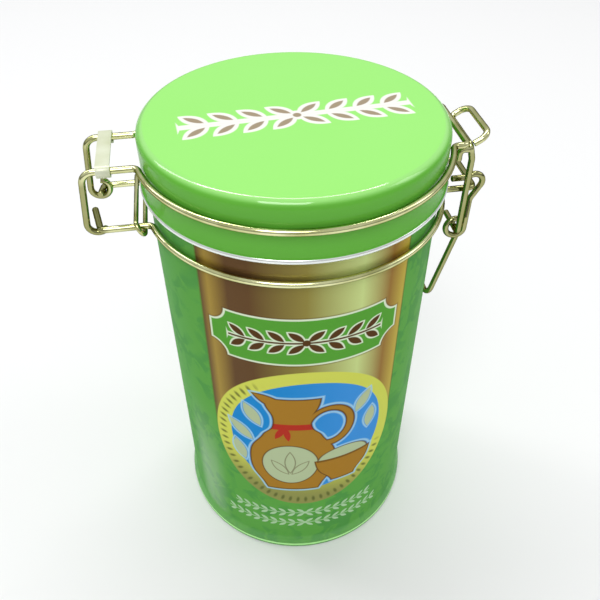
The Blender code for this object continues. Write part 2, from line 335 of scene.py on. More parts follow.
def bentLine(corners):
    line = [corners[0][0]]
    for (before, _), (corner, radius), (after, _) in zip(corners, corners[1:], corners[2:]):
        back = (before - corner).normalized()
        ahead = (after - corner).normalized()
        turn = pi - acos(max(-1, min(1, back.dot(ahead))))
        if radius == 0 or turn < radians(1):
            line.append(corner)
            continue
        centre = corner + (back + ahead).normalized() * (radius / cos(turn / 2))
        start = corner + back * (radius * tan(turn / 2)) - centre
        axis = start.cross(corner + ahead * (radius * tan(turn / 2)) - centre).normalized()
        steps = max(3, ceil(turn / radians(wires["bendStep"])))
        for i in range(steps + 1):
            angle = turn * i / steps
            line.append(centre + start * cos(angle) + axis.cross(start) * sin(angle))
    line.append(corners[-1][0])
    return line


def straightThrough(points):
    return [(point, 0) for point in points]


def ringLine(radius, height, start, end):
    steps = ceil(abs(end - start) / radians(wires["ringStep"]))
    angles = [start + (end - start) * i / steps for i in range(steps + 1)]
    return [Vector((radius * cos(angle), radius * sin(angle), height)) for angle in angles]


def curlLine(centre, start, end, drift=0.0):
    steps = ceil(abs(end - start) / wires["bendStep"])
    points = []
    for i in range(steps + 1):
        angle = radians(start + (end - start) * i / steps)
        reach = wires["eye"] * Vector((cos(angle), 0, sin(angle)))
        points.append(centre + reach + Vector((0, drift * i / steps, 0)))
    return points


def bentWire(line, thickness, closed=False):
    # a round wire along the line, its cut ends a little chamfered
    girths = [1.0] * len(line)
    if not closed:
        cut = wires["cutEdge"]
        narrow = 1 - cut / thickness * wires["cutSlope"]
        second = line[0] + (line[1] - line[0]).normalized() * cut
        lastButOne = line[-1] + (line[-2] - line[-1]).normalized() * cut
        line = [line[0], second, *line[1:-1], lastButOne, line[-1]]
        girths = [narrow, 1.0, *girths[1:-1], 1.0, narrow]
    data = bpy.data.curves.new("wire", "CURVE")
    data.dimensions = "3D"
    data.bevel_depth = thickness / 2
    data.bevel_resolution = wires["sides"]
    data.use_fill_caps = not closed
    spline = data.splines.new("POLY")
    spline.points.add(len(line) - 1)
    for point, place, girth in zip(spline.points, line, girths):
        point.co = (*place, 1)
        point.radius = girth
    spline.use_cyclic_u = closed
    piece = bpy.data.objects.new("wire", data)
    bpy.context.scene.collection.objects.link(piece)
    pick(piece)
    bpy.ops.object.convert(target="MESH")
    piece = bpy.context.object
    bpy.ops.object.mode_set(mode="EDIT")
    bpy.ops.mesh.select_all(action="SELECT")
    bpy.ops.mesh.remove_doubles(threshold=0.002 * mm)
    bpy.ops.mesh.normals_make_consistent(inside=False)
    bpy.ops.object.mode_set(mode="OBJECT")
    piece.location.x = middleX
    return piece


# Hinge side, at -X

hinge = {
    "armY": 10.7 * mm,
    "eyeX": -66.5 * mm,
    "eyeHeight": 157.7 * mm,
    "legLean": 6,
    "mouthFront": -30,
    "mouthRear": 80,
    "pinArmY": 13.3 * mm,
    "pinRootX": -65.4 * mm,
    "pinTipX": -67.8 * mm,
    "pinTipFront": -1.0 * mm,
    "pinTipRear": 7.6 * mm,
    "strapX": -61.0 * mm,
    "strapWidth": 4.4 * mm,
    "strapThick": 0.7 * mm,
    "strapWrap": 215,
    "strapSteps": 30,
    "strapEdge": 0.14 * mm,
    "strapEdgeAngle": 50,
    "tieTopX": -53.9 * mm,
    "tieBottomX": -51.6 * mm,
    "tieReach": 16.2 * mm,
    "tieRise": 2.2 * mm,
    "tieSteps": 24,
}

# Latch side, at +X

latch = {
    "upperBarX": 54.9 * mm,
    "upperBarHalf": 14.1 * mm,
    "lowerBarX": 62.1 * mm,
    "lowerBarHalf": 9.2 * mm,
    "linkFront": -11.7 * mm,
    "linkRear": 8.7 * mm,
    "linkX": 58.1 * mm,
    "linkBendHeight": 170.0 * mm,
    "linkBar": (56.8 * mm, 175.1 * mm),
    "thumbBar": (62.8 * mm, 178.6 * mm),
    "thumbBend": 3.6 * mm,
    "stubX": 53.4 * mm,
    "stubHeight": 173.9 * mm,
    "stubDrop": 4.0 * mm,
    "stubSink": 0.2 * mm,
    "kneeHeight": 139.4 * mm,
    "kneePinY": 1.6 * mm,
    "hook": (62.8 * mm, -6.7 * mm, 157.4 * mm),
    "hookStart": 120,
    "hookEnd": -34,
    "tail": (54.4 * mm, 159.5 * mm),
    "tailSetback": 1.0 * mm,
    "leverSet": 2.9 * mm,
    "leverSetHeight": 150.4 * mm,
    "coil": (58.2 * mm, -8.9 * mm, 139.0 * mm),
    "coilPitch": 2.6 * mm,
    "coilLead": 4.6 * mm,
    "handleLean": 14,
    "handleEndX": 52.9 * mm,
    "handleWidth": 11.0 * mm,
    "handleReturnX": 54.6 * mm,
}


def roundToBar(side, radius, height, armY, barX, barHalf):
    # from an arm's root round the tin to the end of the bar at the latch
    start = side * (pi - asin(armY / radius))
    barY = side * barHalf
    ring = ringLine(radius, height, start, asin(barY / radius))
    corners = [(ring[0], wires["bend"])] + straightThrough(ring[1:-1])
    return corners + [(ring[-1], wires["bend"]), (Vector((barX, barY, height)), wires["bend"])]


def upperHalf(side):
    armY = side * hinge["armY"]
    height = wires["upperHeight"]
    mouth = hinge["mouthFront"] if side < 0 else hinge["mouthRear"]
    eye = curlLine(Vector((hinge["eyeX"], armY, hinge["eyeHeight"])), mouth, -180 - hinge["legLean"])
    shoulderX = eye[-1].x + (height - eye[-1].z) * tan(radians(hinge["legLean"]))
    corners = straightThrough(eye) + [(Vector((shoulderX, armY, height)), wires["wide"])]
    bar = latch["upperBarX"], latch["upperBarHalf"]
    return corners + roundToBar(side, upperRing, height, hinge["armY"], *bar)


def lowerHalf(side):
    armY = side * hinge["pinArmY"]
    height = wires["lowerHeight"]
    tipY = hinge["pinTipFront"] if side < 0 else hinge["pinTipRear"]
    splay = (hinge["pinTipX"] - hinge["pinRootX"]) / (hinge["pinArmY"] - abs(hinge["pinTipFront"]))
    root = Vector((hinge["pinRootX"], armY, height))
    tip = root + Vector((splay * abs(armY - tipY), tipY - armY, 0))
    bar = latch["lowerBarX"], latch["lowerBarHalf"]
    corners = [(tip, 0), (root, wires["tight"])]
    return corners + roundToBar(side, lowerRing, height, hinge["pinArmY"], *bar)


def tieLine():
    top = Vector((hinge["tieTopX"], 0, wires["lowerHeight"] + hinge["tieRise"]))
    bottom = Vector((hinge["tieBottomX"], 0, wires["lowerHeight"] - hinge["tieRise"]))
    middle = (top + bottom) / 2
    half = (top - bottom) / 2
    endY = hinge["tieReach"] - half.length
    line = []
    for side in (-1, 1):
        for i in range(hinge["tieSteps"] + 1):
            angle = pi * i / hinge["tieSteps"]
            reach = Vector((0, side * (endY + half.length * sin(angle)), 0))
            line.append(middle + reach - side * cos(angle) * half)
    return line


def linkLine():
    front = latch["linkFront"]
    rear = latch["linkRear"]
    barX, barHeight = latch["linkBar"]
    thumbX, thumbHeight = latch["thumbBar"]
    legTop = Vector((barX, front, barHeight))
    thumbCorner = Vector((thumbX, front, thumbHeight))
    loopEnd = legTop + (thumbCorner - legTop).normalized() * (wires["thick"] / 2)
    corners = [
        (Vector((latch["linkX"], latch["kneePinY"], latch["kneeHeight"])), 0),
        (Vector((latch["linkX"], front, latch["kneeHeight"])), wires["tight"]),
        (Vector((latch["linkX"], front, latch["linkBendHeight"])), wires["wide"]),
        (legTop, wires["tight"]),
        (Vector((barX, rear, barHeight)), wires["bend"]),
        (Vector((thumbX, rear, thumbHeight)), latch["thumbBend"]),
        (thumbCorner, latch["thumbBend"]),
        (loopEnd, 0),
    ]
    return bentLine(corners)


def stubLine():
    rootX = latch["linkBar"][0] + latch["stubSink"]
    front = latch["linkFront"]
    height = latch["stubHeight"]
    corners = [
        (Vector((rootX, front, height - latch["stubSink"])), 0),
        (Vector((latch["stubX"], front, height)), wires["tight"]),
        (Vector((latch["stubX"], front, height - latch["stubDrop"])), 0),
    ]
    return bentLine(corners)


def leverLine():
    hookX, hookY, hookHeight = latch["hook"]
    coilX, coilY, coilHeight = latch["coil"]
    lean = latch["handleLean"]
    hook = curlLine(Vector((hookX, hookY, hookHeight)), latch["hookStart"], latch["hookEnd"])
    coil = curlLine(Vector((coilX, coilY, coilHeight)), 0, -360 - lean, drift=latch["coilPitch"])
    slope = tan(radians(lean))
    endX = latch["handleEndX"]
    endHeight = coil[-1].z - (coil[-1].x - endX) / slope
    returnY = coil[-1].y + latch["handleWidth"]
    returnHeight = endHeight + (latch["handleReturnX"] - endX) / slope
    tailX, tailHeight = latch["tail"]
    tail = [
        (Vector((tailX, hookY, tailHeight)), 0),
        (Vector((hook[0].x - latch["tailSetback"], hookY, tailHeight)), wires["tight"]),
    ]
    leg = [
        (Vector((hook[-1].x - latch["leverSet"], hookY, latch["leverSetHeight"])), wires["wide"]),
        (Vector((coilX + wires["eye"], coilY, coilHeight + latch["coilLead"])), wires["wide"]),
    ]
    handle = [
        (Vector((endX, coil[-1].y, endHeight)), 2 * wires["bend"]),
        (Vector((endX, returnY, endHeight)), 2 * wires["bend"]),
        (Vector((latch["handleReturnX"], returnY, returnHeight)), 0),
    ]
    return bentLine(tail + straightThrough(hook) + leg + straightThrough(coil) + handle)


def makeWires(brass):
    thick = wires["thick"]
    upper = bentWire(bentLine(upperHalf(-1) + upperHalf(1)[::-1]), thick)
    finished(upper, "lidWire", "upper_wire", [brass])
    lower = bentWire(bentLine(lowerHalf(-1) + lowerHalf(1)[::-1]), thick)
    finished(lower, "canWire", "lower_wire", [brass])
    finished(bentWire(tieLine(), wires["tieThick"], closed=True), "tieWire", "tie_loop", [brass])
    link = bentWire(linkLine(), thick)
    stub = bentWire(stubLine(), thick)
    weld = link.modifiers.new("weld", "BOOLEAN")
    weld.operation = "UNION"
    weld.object = stub
    applyModifiers(link)
    bpy.data.objects.remove(stub, do_unlink=True)
    finished(link, "linkWire", "latch_link", [brass])
    finished(bentWire(leverLine(), thick), "leverWire", "latch_lever", [brass])


def makeStrap(material):
    # a flat band laid over both hinge arms, its ends rolled round them
    roll = wires["thick"] / 2 + wires["gap"] + hinge["strapThick"] / 2
    left = hinge["strapX"] - hinge["strapWidth"] / 2
    half = []
    for i in range(hinge["strapSteps"] + 1):
        angle = pi / 2 + radians(hinge["strapWrap"]) * (1 - i / hinge["strapSteps"])
        half.append((-hinge["armY"] + roll * cos(angle), wires["upperHeight"] + roll * sin(angle)))
    outline = half + [(-y, z) for y, z in reversed(half)]
    piece = drawnLine([Vector((left, y, z)) for y, z in outline])
    bpy.ops.mesh.select_all(action="SELECT")
    across = {"value": (hinge["strapWidth"], 0, 0)}
    bpy.ops.mesh.extrude_region_move(TRANSFORM_OT_translate=across)
    bpy.ops.mesh.select_all(action="SELECT")
    bpy.ops.mesh.normals_make_consistent(inside=False)
    bpy.ops.object.mode_set(mode="OBJECT")
    sheet = piece.modifiers.new("sheet", "SOLIDIFY")
    sheet.thickness = hinge["strapThick"]
    sheet.offset = 0
    sheet.use_even_offset = True
    rounded = piece.modifiers.new("rounded", "BEVEL")
    rounded.width = hinge["strapEdge"]
    rounded.segments = 2
    rounded.limit_method = "ANGLE"
    rounded.angle_limit = radians(hinge["strapEdgeAngle"])
    applyModifiers(piece)
    piece.location.x = middleX
    finished(piece, "hingeStrap", "hinge_strap", [material])


# Materials: node helpers


def screen(red, green, blue):
    # a colour as a picture shows it, from 0 to 255, in Blender's own linear values
    return tuple(((c / 255 + 0.055) / 1.055) ** 2.4 if c > 10 else c / 3295 for c in (red, green, blue))


def ink(red, green, blue):
    # the ink that shows this picture colour on the tin's wall under the studio's side light
    matt = (max(studio["darkestInk"], c - studio["wallSheen"]) for c in screen(red, green, blue))
    return (*(c / studio["wallLight"] for c in matt), 1)


def feed(tree, socket, value):
    if isinstance(value, bpy.types.NodeSocket):
        tree.links.new(value, socket)
    else:
        socket.default_value = value


def calc(tree, operation, *values, clamp=False):
    step = tree.nodes.new("ShaderNodeMath")
    step.operation = operation
    step.use_clamp = clamp
    for socket, value in zip(step.inputs, values):
        feed(tree, socket, value)
    return step.outputs[0]


def paint(tree, under, over, mask):
    # the Mix node's colour sockets are numbers 6 and 7, and its result is number 2
    mix = tree.nodes.new("ShaderNodeMix")
    mix.data_type = "RGBA"
    feed(tree, mix.inputs[0], mask)
    feed(tree, mix.inputs[6], under)
    feed(tree, mix.inputs[7], over)
    return mix.outputs[2]


def objectPlace(tree):
    place = tree.nodes.new("ShaderNodeTexCoord").outputs["Object"]
    split = tree.nodes.new("ShaderNodeSeparateXYZ")
    tree.links.new(place, split.inputs[0])
    return place, split.outputs


def noise(tree, vector, scale, detail, distortion=0.0):
    cloud = tree.nodes.new("ShaderNodeTexNoise")
    feed(tree, cloud.inputs["Vector"], vector)
    cloud.inputs["Scale"].default_value = scale
    cloud.inputs["Detail"].default_value = detail
    cloud.inputs["Distortion"].default_value = distortion
    return cloud.outputs["Fac"]


def fade(tree, value, start, end):
    # 0 at start, 1 at end, eased
    step = tree.nodes.new("ShaderNodeMapRange")
    step.interpolation_type = "SMOOTHSTEP"
    feed(tree, step.inputs["Value"], value)
    step.inputs["From Min"].default_value = start
    step.inputs["From Max"].default_value = end
    return step.outputs["Result"]


def cover(tree, shape, soft=0.14):
    # 1 inside a drawn shape, 0 outside, with an edge that is soft by this many mm
    return calc(tree, "MULTIPLY_ADD", shape, -0.5 / soft, 0.5, clamp=True)


def outline(tree, shape, start, end, soft=0.14):
    outer = cover(tree, calc(tree, "SUBTRACT", shape, end), soft)
    inner = cover(tree, calc(tree, "SUBTRACT", shape, start), soft)
    return calc(tree, "SUBTRACT", outer, inner, clamp=True)


# Drawn shapes, each the distance in mm to its edge, below 0 inside


def length(tree, du, dv):
    squares = calc(tree, "ADD", calc(tree, "MULTIPLY", du, du), calc(tree, "MULTIPLY", dv, dv))
    return calc(tree, "SQRT", squares)


def oval(tree, u, v, middle, size):
    du = calc(tree, "DIVIDE", calc(tree, "SUBTRACT", u, middle[0]), size[0])
    dv = calc(tree, "DIVIDE", calc(tree, "SUBTRACT", v, middle[1]), size[1])
    return calc(tree, "MULTIPLY", calc(tree, "SUBTRACT", length(tree, du, dv), 1), min(size))


def block(tree, u, v, middle, size, corner):
    du = calc(tree, "ABSOLUTE", calc(tree, "SUBTRACT", u, middle[0]))
    dv = calc(tree, "ABSOLUTE", calc(tree, "SUBTRACT", v, middle[1]))
    du = calc(tree, "SUBTRACT", du, size[0] - corner)
    dv = calc(tree, "SUBTRACT", dv, size[1] - corner)
    out = length(tree, calc(tree, "MAXIMUM", du, 0), calc(tree, "MAXIMUM", dv, 0))
    within = calc(tree, "MINIMUM", calc(tree, "MAXIMUM", du, dv), 0)
    return calc(tree, "SUBTRACT", calc(tree, "ADD", out, within), corner)


def turnedAxes(tree, u, v, middle, turn):
    du = calc(tree, "SUBTRACT", u, middle[0])
    dv = calc(tree, "SUBTRACT", v, middle[1])
    level = cos(radians(turn))
    steep = sin(radians(turn))
    along = calc(tree, "ADD", calc(tree, "MULTIPLY", du, level), calc(tree, "MULTIPLY", dv, steep))
    aside = calc(tree, "SUBTRACT", calc(tree, "MULTIPLY", dv, level), calc(tree, "MULTIPLY", du, steep))
    return along, aside


def leaf(tree, u, v, middle, turn, size):
    along, aside = turnedAxes(tree, u, v, middle, turn)
    run = calc(tree, "DIVIDE", along, size[0])
    bulge = calc(tree, "MULTIPLY_ADD", calc(tree, "MULTIPLY", run, run), size[1], -size[1])
    return calc(tree, "ADD", calc(tree, "ABSOLUTE", aside), bulge)


def turnedShape(tree, u, v, middle, tall, profile, wide):
    # a pot seen from the side: half its width, as a part of wide, from its foot up
    widths = tree.nodes.new("ShaderNodeFloatCurve")
    run = calc(tree, "DIVIDE", calc(tree, "SUBTRACT", v, middle[1] - tall / 2), tall)
    feed(tree, widths.inputs["Value"], run)
    points = widths.mapping.curves[0].points
    points[0].location = profile[0]
    points[1].location = profile[-1]
    for at, width in profile[1:-1]:
        points.new(at, width)
    widths.mapping.update()
    aside = calc(tree, "ABSOLUTE", calc(tree, "SUBTRACT", u, middle[0]))
    side = calc(tree, "SUBTRACT", aside, calc(tree, "MULTIPLY", widths.outputs["Value"], wide))
    ends = calc(tree, "SUBTRACT", calc(tree, "ABSOLUTE", calc(tree, "SUBTRACT", v, middle[1])), tall / 2)
    return calc(tree, "MAXIMUM", side, ends)


def together(tree, *shapes):
    joined = shapes[0]
    for shape in shapes[1:]:
        joined = calc(tree, "MINIMUM", joined, shape)
    return joined


def leaves(tree, u, v, places):
    return together(tree, *(leaf(tree, u, v, *place) for place in places))


def minus(tree, shape, hole):
    return calc(tree, "MAXIMUM", shape, calc(tree, "MULTIPLY", hole, -1))


# Effects that several materials share


def newGroup(name, inputs, outputs):
    group = bpy.data.node_groups.new(name, "ShaderNodeTree")
    kind = "NodeSocketFloat"
    for label, start in inputs.items():
        group.interface.new_socket(label, in_out="INPUT", socket_type=kind).default_value = start
    for label in outputs:
        group.interface.new_socket(label, in_out="OUTPUT", socket_type=kind)
    return group, group.nodes.new("NodeGroupInput").outputs, group.nodes.new("NodeGroupOutput").inputs


def placeGroup(tree, group, **values):
    placed = tree.nodes.new("ShaderNodeGroup")
    placed.node_tree = group
    for label, value in values.items():
        feed(tree, placed.inputs[label], value)
    return placed.outputs


marks = {  # noise scale and detail
    "smear": (22, 3),
    "grain": (900, 2),
    "dents": (60, 2),
    "glossiest": 0.03,
}


def makeHandling():
    # soft smears and fine rubbing marks: a roughness that varies, and a height for bump
    inputs = {"Base": 0.25, "Smear": 0.06, "Grain": 0.03}
    group, given, out = newGroup("handling", inputs, ("Roughness", "Height"))
    place = group.nodes.new("ShaderNodeTexCoord").outputs["Object"]
    smear = calc(group, "SUBTRACT", noise(group, place, *marks["smear"]), 0.5)
    grain = calc(group, "SUBTRACT", noise(group, place, *marks["grain"]), 0.5)
    rough = calc(group, "MULTIPLY_ADD", smear, given["Smear"], given["Base"])
    rough = calc(group, "MULTIPLY_ADD", grain, given["Grain"], rough)
    group.links.new(calc(group, "MAXIMUM", rough, marks["glossiest"]), out["Roughness"])
    group.links.new(noise(group, place, *marks["dents"]), out["Height"])
    return group


leafRow = {
    "step": 6.0,
    "leaf": (3.1, 1.2),
    "turn": 38,
    "lift": 2.5,
    "stem": 0.35,
    "bud": 1.3,
    "edge": 0.6,
    "core": 0.42,
}


def makeLeafRow():
    # a stem along U with mirrored leaves, drawn round 0,0
    inputs = {"U": 0.0, "V": 0.0, "Half": 30.0, "Scale": 1.0}
    group, given, out = newGroup("leafRow", inputs, ("Core", "Leaf", "Margin"))
    u = calc(group, "ABSOLUTE", calc(group, "DIVIDE", given["U"], given["Scale"]))
    v = calc(group, "ABSOLUTE", calc(group, "DIVIDE", given["V"], given["Scale"]))
    half = calc(group, "DIVIDE", given["Half"], given["Scale"])
    step = leafRow["step"]
    within = calc(group, "SUBTRACT", calc(group, "WRAP", u, step, 0.0), step / 2)
    side = leaf(group, within, v, (0, leafRow["lift"]), leafRow["turn"], leafRow["leaf"])
    stem = calc(group, "SUBTRACT", v, leafRow["stem"])
    row = calc(group, "MAXIMUM", together(group, side, stem), calc(group, "SUBTRACT", u, half))
    row = together(group, row, oval(group, u, v, (0, 0), (leafRow["bud"], leafRow["bud"])))
    for name, grow in (("Core", -leafRow["core"]), ("Leaf", 0), ("Margin", leafRow["edge"])):
        group.links.new(cover(group, calc(group, "SUBTRACT", row, grow)), out[name])
    return group


def newMaterial(name, metallic=0.0, specular=0.5):
    made = bpy.data.materials.new(name)
    made.use_nodes = True
    shader = made.node_tree.nodes["Principled BSDF"]
    shader.inputs["Metallic"].default_value = metallic
    shader.inputs["Specular IOR Level"].default_value = specular
    shader.inputs["Coat Roughness"].default_value = 0.05
    return made, made.node_tree, shader.inputs


def roughen(tree, shader, handling, finish, height=None):
    base, smear, grain = finish["roughness"], finish["smear"], finish["grain"]
    worn = placeGroup(tree, handling, Base=base, Smear=smear, Grain=grain)
    tree.links.new(worn["Roughness"], shader["Roughness"])
    raised = tree.nodes.new("ShaderNodeBump")
    raised.inputs["Distance"].default_value = finish["bump"]
    raised.inputs["Strength"].default_value = 1.0
    feed(tree, raised.inputs["Height"], worn["Height"] if height is None else height)
    tree.links.new(raised.outputs["Normal"], shader["Normal"])


# Printed wall of the can: sizes in mm along (u) and up (v) the unrolled wall

wallPrint = {
    "turn": -4.8,  # degrees from the front to the print's middle
    "ground": ink(90, 156, 70),
    "groundPale": ink(90, 157, 76),
    "groundDark": ink(72, 138, 70),
    "paleFrom": (41, 56),
    "broad": (55, 2, 0.8),  # two noises mottle the ground: scale, detail and distortion
    "broadFade": (0.36, 0.56),
    "leafy": (120, 4, 0.9),
    "leafyFade": (0.47, 0.55),
    "mottle": 0.65,
    "rows": ((26.5, 31.2), (18.5, 35.1)),  # height and half length of the small leaf rows
    "rowScale": 0.65,
    "rowInk": ink(164, 196, 156),
    # painted highlight: a pale ink line round the foot bead stands for a glint along its edge
    "footGlintLine": (1.6, 2.7),
    "footSoft": 0.2,
    "footGlintInk": ink(176, 240, 150),
    "goldMetal": 0.3,
    "varnish": 0.12,  # all over, with more in one upright patch and on the foot
    "glossVarnish": 0.80,
    "glossPlace": -45.0,
    "glossFade": (12, 2),
    "glossHeights": (90, 30),
    "footVarnish": (8, 5),
    "relief": 0.12,  # the ground's waves as a part of the badge figure's rise
    "roughness": 0.30,
    "smear": 0.10,
    "grain": 0.03,
    "bump": 0.12 * mm,
}
outlineInk = ink(84, 58, 34)
panel = {
    "half": 36.2,
    "fade": (66, 93),
    "rim": (-0.25, 0.45, 0.3),  # from and to, across the edge, and how soft
    "rimStrength": 0.6,
    "rimInk": ink(96, 92, 44),
    "umber": ink(95, 70, 45),
    "bronze": ink(140, 105, 50),
    "gold": ink(155, 130, 60),
    "oldGold": ink(135, 125, 65),
    "paleGold": ink(185, 200, 130),
    "brightGold": ink(180, 160, 60),
    "bands": (  # the panel's gradient from left to right
        (0.00, "umber"),
        (0.05, "gold"),
        (0.15, "umber"),
        (0.25, "umber"),
        (0.50, "oldGold"),
        (0.75, "paleGold"),
        (0.90, "bronze"),
        (1.00, "brightGold"),
    ),
}
plaque = {
    "height": 130.5,
    "half": (33.5, 10.8),
    "corner": 2.0,
    "scoop": (6.0, 6.0),
    "border": 0.8,
    "rim": 0.45,
    "rimSoft": 0.3,
    "rimStrength": 0.55,
    "green": ink(84, 152, 56),
    "edge": ink(206, 220, 192),
    "rowHalf": 26.4,
    "rowScale": 1.1,
}
badge = {
    "ring": ((0.2, 75.0), (36.4, 41.2)),  # middle and half sizes
    "ringInk": ink(196, 202, 88),
    "ringLower": ink(136, 138, 78),
    "lowerFade": (-0.9, -0.25),  # parts of the ring's half height
    "lowerTilt": 0.2,
    "marks": 66,
    "mark": (0.7, 1.5),
    "markSoft": 0.3,
    "markInset": 2.9,
    "markFade": (20, 10),
    "markTilt": 0.9,
    "markStrength": 0.8,
    "markInk": ink(84, 92, 48),
    "field": ((0.9, 77.8), (30.2, 32.6)),
    "sky": ink(37, 129, 194),
    "skyLow": ink(64, 138, 206),
    "skyFade": (24, -16),
    "glow": (0.3, 1.1, 0.3),
    "glowInk": ink(150, 192, 216),
    "clay": ink(158, 116, 44),
    "cream": ink(170, 184, 146),
    "ribbon": ink(170, 52, 40),
    "jug": (  # middle, height, outline from the foot up, widest half width
        (-5.0, 73.5),
        57.0,
        ((0, 0.60), (0.04, 0.66), (0.33, 1.0), (0.62, 0.66), (0.76, 0.42), (0.95, 0.60), (1, 0.62)),
        17.0,
    ),
    "spout": ((-12.5, 100.0), 154, (8.0, 2.6)),  # a leaf's middle, turn and half sizes
    "handle": ((9.0, 85.0), (10.0, 12.0)),
    "handleHole": ((8.6, 85.4), (6.8, 8.6)),
    "belly": ((-6.0, 62.0), (11.0, 12.5)),
    "sashHeight": 86.0,
    "sashHalf": 1.7,
    "knot": (((-9.6, 82.4), 64, (4.4, 1.4)), ((-7.0, 81.8), 98, (4.4, 1.3))),
    "bowl": ((15.5, 56.0), 15.0, ((0, 0.42), (0.10, 0.46), (0.55, 0.86), (1, 1.0)), 12.0),
    "heap": ((15.5, 62.6), (10.8, 7.4)),
    "jugLine": (-0.5, 0.1),  # drawn lines, from inside the edge to outside it
    "bellyLine": (-0.2, 0.3),
    "bowlLine": (-0.5, 0.1),
    "powderLine": (-0.3, 0.2),
    "sproutLine": (-0.2, 0.25),
    "lineStrength": 0.8,
    "sproutStrength": 0.6,
    "figureSoft": 0.5,
    "sprig": (
        ((-20, 91), 118, (6.5, 2.6)),
        ((-25, 80), 136, (6.5, 2.5)),
        ((-26, 67), 108, (6.2, 2.4)),
        ((22, 94), 62, (6.0, 2.4)),
        ((26, 82), 84, (6.0, 2.3)),
    ),
    "sprout": (
        ((-6.0, 63.5), 90, (7.0, 2.0)),
        ((-10.0, 60.0), 128, (5.4, 1.7)),
        ((-2.0, 60.0), 52, (5.4, 1.7)),
    ),
}


def drawPanel(tree, u, v, ground):
    # the gold panel: upright bands of light and dark that fade out above the foot
    half = panel["half"]
    bands = tree.nodes.new("ShaderNodeValToRGB")
    feed(tree, bands.inputs["Fac"], calc(tree, "MULTIPLY_ADD", u, 0.5 / half, 0.5))
    stops = bands.color_ramp.elements
    stops.remove(stops[1])
    for at, name in panel["bands"]:
        stop = stops.new(at) if at else stops[0]
        stop.color = panel[name]
    edge = calc(tree, "SUBTRACT", calc(tree, "ABSOLUTE", u), half)
    lasting = fade(tree, v, *panel["fade"])
    shown = calc(tree, "MULTIPLY", cover(tree, edge), lasting)
    colour = paint(tree, ground, bands.outputs["Color"], shown)
    rim = calc(tree, "MULTIPLY", outline(tree, edge, *panel["rim"]), lasting)
    rim = calc(tree, "MULTIPLY", rim, panel["rimStrength"])
    return paint(tree, colour, panel["rimInk"], rim), shown


def drawPlaque(tree, u, v, under, leafRows):
    # a green plate with scooped corners and a leaf row
    plate = block(tree, u, v, (0, plaque["height"]), plaque["half"], plaque["corner"])
    above = calc(tree, "SUBTRACT", v, plaque["height"])
    folded = calc(tree, "ABSOLUTE", u), calc(tree, "ABSOLUTE", above)
    plate = minus(tree, plate, oval(tree, *folded, plaque["half"], plaque["scoop"]))
    rim = cover(tree, calc(tree, "SUBTRACT", plate, plaque["rim"]), plaque["rimSoft"])
    colour = paint(tree, under, outlineInk, calc(tree, "MULTIPLY", rim, plaque["rimStrength"]))
    colour = paint(tree, colour, plaque["edge"], cover(tree, plate))
    inner = cover(tree, calc(tree, "ADD", plate, plaque["border"]))
    colour = paint(tree, colour, plaque["green"], inner)
    row = placeGroup(tree, leafRows, U=u, V=above, Half=plaque["rowHalf"], Scale=plaque["rowScale"])
    colour = paint(tree, colour, plaque["edge"], row["Margin"])
    colour = paint(tree, colour, outlineInk, row["Leaf"])
    return colour, cover(tree, plate)


def drawRing(tree, u, v, under):
    # the badge's yellow ring, with a row of marks all round that fades towards the upper right
    ring = oval(tree, u, v, *badge["ring"])
    (ringU, ringV), (wide, high) = badge["ring"]
    aside = calc(tree, "SUBTRACT", u, ringU)
    above = calc(tree, "SUBTRACT", v, ringV)
    start, end = badge["lowerFade"]
    lit = calc(tree, "MULTIPLY_ADD", aside, badge["lowerTilt"], above)
    lit = fade(tree, lit, start * high, end * high)
    ringInk = paint(tree, badge["ringLower"], badge["ringInk"], lit)
    colour = paint(tree, under, ringInk, cover(tree, ring))
    turn = calc(tree, "ARCTAN2", calc(tree, "DIVIDE", above, high), calc(tree, "DIVIDE", aside, wide))
    spacing = 2 * pi / badge["marks"]
    near = calc(tree, "SUBTRACT", calc(tree, "WRAP", turn, spacing, 0.0), spacing / 2)
    near = calc(tree, "MULTIPLY", near, wide)
    dots = oval(tree, near, calc(tree, "ADD", ring, badge["markInset"]), (0, 0), badge["mark"])
    marked = fade(tree, calc(tree, "MULTIPLY_ADD", aside, badge["markTilt"], above), *badge["markFade"])
    marked = calc(tree, "MULTIPLY", cover(tree, dots, badge["markSoft"]), marked)
    marked = calc(tree, "MULTIPLY", marked, badge["markStrength"])
    return paint(tree, colour, badge["markInk"], marked), cover(tree, ring)


